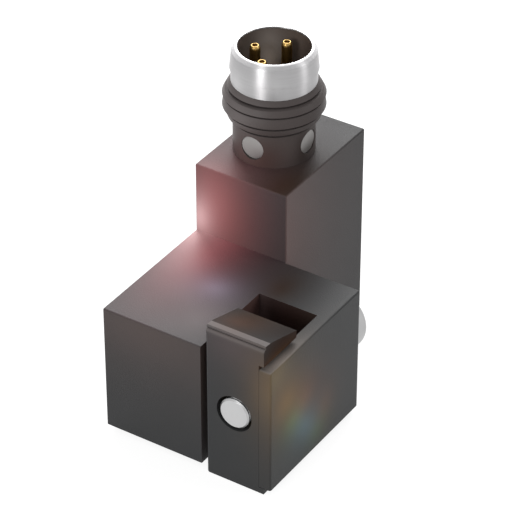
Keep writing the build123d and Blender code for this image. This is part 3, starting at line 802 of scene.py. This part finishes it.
class SENSOR_OT_connector_body(bpy.types.Operator):
    """Turn the connector's body with its barb ring and cut its round windows"""

    bl_idname = "sensor.connector_body"
    bl_label = "Connector Body"

    def execute(self, context):
        size = context.scene.sensor_neck
        finish = context.scene.sensor_moulding
        sleeve = context.scene.sensor_sleeve
        body = turned("connector_neck", self.outline(size, sleeve), on_axis(TOWER_TOP))
        window = radius_of(size.window_diameter)
        reach = size.ridge_diameter / MM
        shaft = [(0, 0), (window, 0), (window, reach), (0, reach)]
        for number in range(size.window_count):
            drill = turned("drill", shaft, Vector(), "X", steps=64)
            drill.data.transform(at_window(size, number))
            combine(body, drill, "DIFFERENCE")
        colour = tuple(finish.connector_colour)
        grain = finish.grain / MM * CONNECTOR_GRAIN
        # Painted sheen, glow and shade on the connector's body
        material = moulded("Connector plastic", colour, grain, finish.roughness, NECK_PAINTED_LIGHT, NECK_SHADES)
        settle(body, material, "housing", ["connector_body"])
        paint(plain_finish("Seal rubber", (0.03, 0.03, 0.03), 0.7, 4.0), "neck_seal")
        return {"FINISHED"}

    def outline(self, size, sleeve):
        """Gives the turned outline of the body: radius, then height over the tower's top."""
        neck, bore = radius_of(size.diameter), radius_of(size.bore)
        spigot, spigot_bore = radius_of(size.spigot_diameter), radius_of(size.spigot_bore)
        spigot_low = lowest("connector_body").z - TOWER_TOP
        floor = lowest("light_ring").z - TOWER_TOP
        sleeve_foot = lowest("connector_sleeve").z - TOWER_TOP
        carrier_seat = sleeve_foot - size.seat_depth / MM
        collar = size.height / MM
        lower = collar + size.collar_height / MM
        upper = lower + size.lower_ridge_height / MM
        top = upper + size.upper_ridge_height / MM
        undercut = size.undercut / MM
        deep, thin = size.groove_depth / MM, size.groove_height / MM
        inside = [
            (bore, floor),
            (spigot_bore, floor),
            (spigot_bore, spigot_low),
            (spigot, spigot_low),
            (spigot, 0.0),
        ]
        tiers = [(neck, 0.0)]
        for below, height, above in (
            (neck, collar, radius_of(size.collar_diameter)),
            (radius_of(size.collar_diameter) + undercut, lower, radius_of(size.ridge_diameter)),
            (radius_of(size.waist_diameter), upper, radius_of(size.ridge_diameter)),
            (radius_of(size.top_tier_diameter) - undercut, top, radius_of(size.top_tier_diameter)),
        ):
            if height == top:
                tiers.append((radius_of(size.shoulder_diameter), upper + size.shoulder_height / MM))
            hidden = TIER_HIDES * (above - below)
            foot = height - hidden - thin
            tiers += [(below, foot), (below - deep, foot), (below - deep, height), (above, height)]
        socket = [
            (radius_of(sleeve.plain_diameter), sleeve_foot),
            (radius_of(sleeve.bore), sleeve_foot),
            (radius_of(sleeve.bore), carrier_seat),
            (bore, carrier_seat),
        ]
        outline = inside + tiers + socket
        sharp = [*range(len(inside)), *range(len(inside) + len(tiers), len(outline))]
        return eased(outline, size.edge_round / MM, sharp)


class SENSOR_OT_light_ring(bpy.types.Operator):
    """Build the translucent ring whose domed lenses fill the windows"""

    bl_idname = "sensor.light_ring"
    bl_label = "Light Ring"

    def execute(self, context):
        neck = context.scene.sensor_neck
        size = context.scene.sensor_lenses
        low, high = lowest("light_ring"), highest("light_ring")
        gap = size.gap / MM
        face = (high.x - low.x) / 2
        radius = radius_of(neck.window_diameter) - gap
        wide = radius_of(neck.bore) - gap
        inner = (highest("led_board").x - lowest("led_board").x) / 2 + size.board_gap / MM
        tall = high.z - low.z - gap
        outline = [(inner, gap), (wide, gap), (wide, tall), (inner, tall)]
        outline = eased(outline, size.edge_round / MM)
        ring = turned("light_ring_lenses", outline, on_axis(low.z), steps=96)
        rise = size.dome / MM
        root = (inner + wide) / 2
        dome = [(0, root), (radius, root)]
        for step in range(LENS_STEPS):
            angle = math.pi / 2 * step / LENS_STEPS
            dome.append((radius * math.cos(angle), face - rise / 2 + rise * math.sin(angle)))
        dome.append((0, face + rise / 2))
        for number in range(neck.window_count):
            lens = turned("lens", dome, Vector(), "X", steps=64)
            lens.data.transform(at_window(neck, number))
            combine(ring, lens, "UNION")
        settle(ring, frosted("Frosted lens", tuple(size.colour)), "housing", ["light_ring"])
        return {"FINISHED"}


class SENSOR_OT_connector_sleeve(bpy.types.Operator):
    """Turn the plated sleeve and finish the lining of its socket"""

    bl_idname = "sensor.connector_sleeve"
    bl_label = "Connector Sleeve"

    def execute(self, context):
        size = context.scene.sensor_sleeve
        finish = context.scene.sensor_moulding
        low, high = lowest("connector_sleeve"), highest("connector_sleeve")
        tall = high.z - low.z
        band = (high.x - low.x) / 2
        plain, bore = radius_of(size.plain_diameter), radius_of(size.bore)
        rim_bore = radius_of(size.rim_bore)
        step = size.plain_height / MM
        land = rim_bore + size.rim_land / MM
        bevel = size.rim_bevel / MM
        lip = tall - size.rim_lip / MM
        outline = [
            (bore, 0.0),
            (plain, 0.0),
            (plain, step),
            (band, step),
            (radius_of(size.shoulder_diameter), tall - size.shoulder_drop / MM),
            (land + bevel, tall - bevel),
            (land, tall),
            (rim_bore, tall),
            (rim_bore, lip),
            (bore, lip),
        ]
        outline = eased(outline, size.edge_round / MM, skip=(0, 2, 9))
        sleeve = turned("plated_sleeve", outline, on_axis(low.z), steps=200)
        # The rim's painted highlight starts this far down its bevel
        rim = high.z - HIGHLIGHT_BEVEL * bevel
        colour, pitch = tuple(size.colour), size.line_pitch / MM
        plating = turned_metal("Plated sleeve", colour, 0.42, pitch, "Z", 0.9, rim, SLEEVE_PAINTED_HIGHLIGHTS)
        settle(sleeve, plating, "housing", ["connector_sleeve"])
        colour = tuple(finish.lining_colour)
        # Painted reflection and painted light inside the socket
        paint(moulded("Socket lining", colour, 0.05, 0.3, LINING_PAINTED_LIGHT, gloss=0.3), "contact_carrier")
        return {"FINISHED"}


class SENSOR_OT_contacts(bpy.types.Operator):
    """Turn the three gold-plated contacts"""

    bl_idname = "sensor.contacts"
    bl_label = "Contacts"

    def execute(self, context):
        size = context.scene.sensor_contacts
        radius, tail = radius_of(size.diameter), radius_of(size.tail_diameter)
        collar = radius_of(size.collar_diameter)
        tip = size.tip_height / MM
        dimple = size.dimple / MM
        brim = math.acos(radius_of(size.tip_diameter) / radius)
        gold = plain_finish("Contact gold", (0.38, 0.25, 0.085), 0.34, 5.0, 0.08, 1.0, 0.05)
        for number in (1, 3, 4):
            node = f"contact_pin_{number}"
            low, high = lowest(node), highest(node)
            length = high.z - low.z - size.tip_drop / MM
            collar_low = lowest("contact_carrier").z - low.z
            collar_high = collar_low + size.collar_height / MM
            outline = [
                (0, 0),
                (tail, 0),
                (tail, collar_low),
                (collar, collar_low),
                (collar, collar_high),
                (radius, collar_high),
            ]
            for step in range(ARC_STEPS + 1):
                angle = brim * step / ARC_STEPS
                rise = tip * math.sin(angle) / math.sin(brim)
                outline.append((radius * math.cos(angle), length - tip + rise))
            outline += [
                (dimple, length),
                (dimple * 0.9, length - dimple * 1.6),
                (0, length - dimple * 2),
            ]
            centre = Vector((middle_of(node).x, middle_of(node).y, low.z))
            pin = turned(f"gold_contact_{number}", outline, centre, steps=64)
            settle(pin, gold, "housing", [node])
        return {"FINISHED"}


class SENSOR_OT_clamp_screw(bpy.types.Operator):
    """Cut the clamp screw with its thread and hexagon socket, and finish what it turns in"""

    bl_idname = "sensor.clamp_screw"
    bl_label = "Clamp Screw"

    def execute(self, context):
        size = context.scene.sensor_screw
        low, high = lowest("clamp_screw"), highest("clamp_screw")
        radius, depth, pitch = radius_of(size.thread_diameter), size.thread_depth / MM, size.pitch / MM
        tip = low.y - size.tip_reach / MM
        length = high.y - tip
        head = (high.x - low.x) / 2
        head_start = length - size.head_height / MM
        edge = size.head_edge / MM
        chamfer = size.tip_chamfer / MM
        groove = radius - size.groove_depth / MM
        groove_low = lowest("retaining_ring").y - tip
        groove_high = highest("retaining_ring").y - tip
        thread_start = THREAD_START * chamfer
        thread_end = groove_low - pitch / 2
        outline = [(0, 0.0), (radius - chamfer, 0.0), (radius, chamfer)]
        rows = int((thread_end - thread_start) / pitch * ROWS_PER_PITCH)
        for row in range(rows + 1):
            outline.append((radius, thread_start + (thread_end - thread_start) * row / rows))
        outline += [
            (radius, groove_low),
            (groove, groove_low),
            (groove, groove_high),
            (radius, groove_high),
            (radius, head_start),
            (head - edge / 4, head_start),
            (head, head_start + edge / 4),
        ]
        for step in range(ARC_STEPS + 1):
            angle = math.pi / 2 * step / ARC_STEPS
            outline.append((head - edge + edge * math.cos(angle), length - edge + edge * math.sin(angle)))
        outline.append((0, length))

        def threaded(reach, distance, angle):
            """Cuts the helical thread into the plain radius between its start and its end."""
            if reach != radius or not thread_start < distance < thread_end:
                return reach
            turn = (distance / pitch - angle / (2 * math.pi)) % 1.0
            cut = depth * (1 - abs(2 * turn - 1) * FLANK_SLOPE)
            begun = RUN_IN * (distance - thread_start) / pitch
            left = RUN_OUT * (thread_end - distance) / pitch
            return radius - max(0.0, min(depth * FLAT_ROOT, cut)) * min(1.0, begun, left)

        centre = Vector((SCREW_AXIS.x, tip, SCREW_AXIS.z))
        screw = turned("threaded_screw", outline, centre, "Y", steps=72, radius_at=threaded)
        corner = radius_of(size.socket_flats) / math.cos(math.pi / 6)
        deep = length - size.socket_depth / MM
        outside = length + head
        socket = [(0, deep - corner / 4), (corner, deep), (corner, outside), (0, outside)]
        combine(screw, turned("socket", socket, centre, "Y", steps=6), "DIFFERENCE")
        colour = tuple(size.colour)
        # Painted light on the screw's end
        steel = turned_metal("Screw steel", colour, 0.38, 0.08, "Y", painted_light_patches=SCREW_PAINTED_LIGHT)
        settle(screw, steel, "screw", ["clamp_screw"])
        paint(turned_metal("Ring steel", (0.45, 0.45, 0.45), 0.35, 0.1, "Y"), "retaining_ring")
        paint(turned_metal("Insert brass", (0.6, 0.45, 0.2), 0.35, 0.1, "Y"), "thread_insert")
        return {"FINISHED"}


class SENSOR_OT_electronics(bpy.types.Operator):
    """Finish the boards, the parts on them, the wires and the resin"""

    bl_idname = "sensor.electronics"
    bl_label = "Electronics"

    def execute(self, context):
        board = laminate("Board", (0.03, 0.16, 0.07), (0.1, 0.3, 0.12))
        paint(board, "sensor_board", "main_board", "led_board")
        chip = plain_finish("Chip epoxy", (0.03, 0.03, 0.032), 0.55, 6.0)
        paint(chip, "field_sensor_chip", "signal_chip")
        paint(chip, "output_transistor", "protection_diode", "resistors")
        paint(plain_finish("Ceramic", (0.5, 0.38, 0.25), 0.5, 3.0), "capacitors")
        paint(plain_finish("Lamp resin", (0.85, 0.8, 0.55), 0.2, 2.0), "status_leds")
        paint(plain_finish("Solder", (0.65, 0.65, 0.66), 0.3, 3.0, 0.15, 1.0), "solder_joints")
        paint(plain_finish("Wire sheath", (0.12, 0.12, 0.14), 0.45, 2.0), "link_wires")
        paint(plain_finish("Potting resin", (0.04, 0.04, 0.045), 0.4, 0.8), "potting")
        return {"FINISHED"}


class SENSOR_OT_studio(bpy.types.Operator):
    """Set up the floor, the lamps, the white surroundings and the camera"""

    bl_idname = "sensor.studio"
    bl_label = "Studio"

    def execute(self, context):
        setup = context.scene.sensor_studio
        target = Vector(LOOKED_AT) * MM
        around, up = setup.azimuth, setup.elevation
        back = Vector((math.sin(around) * math.cos(up), -math.cos(around) * math.cos(up), math.sin(up)))
        data = bpy.data.cameras.new("Camera")
        data.lens = setup.lens
        data.clip_start = NEAREST_SEEN
        camera = bpy.data.objects.new("Camera", data)
        camera.location = target + back * setup.distance
        camera.rotation_euler = (-back).to_track_quat("-Z", "Y").to_euler()
        context.scene.collection.objects.link(camera)
        context.scene.camera = camera
        for name, place, width, height in LAMPS:
            self.add_lamp(context, name, place, (width, height), getattr(setup, name), target)
        self.add_floor(setup)
        self.set_world(context, setup.ambient)
        context.scene.view_settings.view_transform = "Standard"
        return {"FINISHED"}

    def add_lamp(self, context, name, place, size, power, target):
        """Adds a soft lamp that looks at the target."""
        data = bpy.data.lights.new(name.capitalize() + " lamp", "AREA")
        data.shape = "RECTANGLE"
        data.size, data.size_y = size
        data.energy = power
        lamp = bpy.data.objects.new(data.name, data)
        lamp.location = place
        lamp.rotation_euler = (target - lamp.location).to_track_quat("-Z", "Y").to_euler()
        context.scene.collection.objects.link(lamp)

    def add_floor(self, setup):
        """Adds a wide pale floor that keeps the object's shadow."""
        mesh = bmesh.new()
        half = setup.floor_width / 2
        low = cad_box[0].z
        corners = ((-half, -half), (half, -half), (half, half), (-half, half))
        mesh.faces.new([mesh.verts.new((x, y, low)) for x, y in corners])
        floor = as_object("Floor", mesh)
        sheet = new_sheet("Pale floor")
        plain = sheet.node("ShaderNodeBsdfDiffuse", None, {"Color": setup.floor_colour})
        white = sheet.node("ShaderNodeEmission", None, {"Color": WHITE, "Strength": setup.floor_white})
        lit = sheet.node("ShaderNodeBsdfDiffuse", None, {"Color": setup.shadow_colour})
        shown = sheet.node("ShaderNodeAddShader", None, {0: white, 1: lit})
        choice = sheet.node("ShaderNodeMixShader", None, {0: sheet.background(), 1: plain, 2: shown})
        sheet.node("ShaderNodeOutputMaterial", None, {"Surface": choice})
        floor.data.materials.append(sheet.owner)

    def set_world(self, context, ambient):
        """Sets a white background and an even room light."""
        world = bpy.data.worlds.new("Surroundings")
        context.scene.world = world
        sheet = NodeSheet(world)
        room = sheet.node("ShaderNodeBackground", None, {"Color": WHITE, "Strength": ambient})
        white = sheet.node("ShaderNodeBackground", None, {"Color": WHITE, "Strength": 1.0})
        choice = sheet.node("ShaderNodeMixShader", None, {0: sheet.background(), 1: room, 2: white})
        sheet.node("ShaderNodeOutputWorld", None, {"Surface": choice})


SETTINGS = (
    ("sensor_moulding", MouldingFinish),
    ("sensor_neck", NeckSizes),
    ("sensor_lenses", LensSizes),
    ("sensor_sleeve", SleeveSizes),
    ("sensor_contacts", ContactSizes),
    ("sensor_screw", ScrewSizes),
    ("sensor_studio", StudioSetup),
)
OPERATORS = (
    SENSOR_OT_moulded_parts,
    SENSOR_OT_connector_body,
    SENSOR_OT_light_ring,
    SENSOR_OT_connector_sleeve,
    SENSOR_OT_contacts,
    SENSOR_OT_clamp_screw,
    SENSOR_OT_electronics,
    SENSOR_OT_studio,
)


class SENSOR_PT_pieces(bpy.types.Panel):
    """Lists the pieces and their settings"""

    bl_idname = "SENSOR_PT_pieces"
    bl_label = "Magnetic Field Sensor"
    bl_space_type = "VIEW_3D"
    bl_region_type = "UI"
    bl_category = "Sensor"

    def draw(self, context):
        for operator in OPERATORS:
            self.layout.operator(operator.bl_idname)
        for name, group in SETTINGS:
            box = self.layout.box()
            box.label(text=group.__doc__)
            settings = getattr(context.scene, name)
            for key in group.__annotations__:
                box.prop(settings, key)


def register():
    for _, group in SETTINGS:
        bpy.utils.register_class(group)
    for operator in OPERATORS:
        bpy.utils.register_class(operator)
    bpy.utils.register_class(SENSOR_PT_pieces)
    for name, group in SETTINGS:
        setattr(bpy.types.Scene, name, PointerProperty(type=group))


def unregister():
    for name, _ in SETTINGS:
        delattr(bpy.types.Scene, name)
    bpy.utils.unregister_class(SENSOR_PT_pieces)
    for operator in reversed(OPERATORS):
        bpy.utils.unregister_class(operator)
    for _, group in reversed(SETTINGS):
        bpy.utils.unregister_class(group)


def main():
    register()
    bpy.ops.sensor.moulded_parts()
    bpy.ops.sensor.connector_body()
    bpy.ops.sensor.light_ring()
    bpy.ops.sensor.connector_sleeve()
    bpy.ops.sensor.contacts()
    bpy.ops.sensor.clamp_screw()
    bpy.ops.sensor.electronics()
    bpy.ops.sensor.studio()


if __name__ == "__main__":
    main()
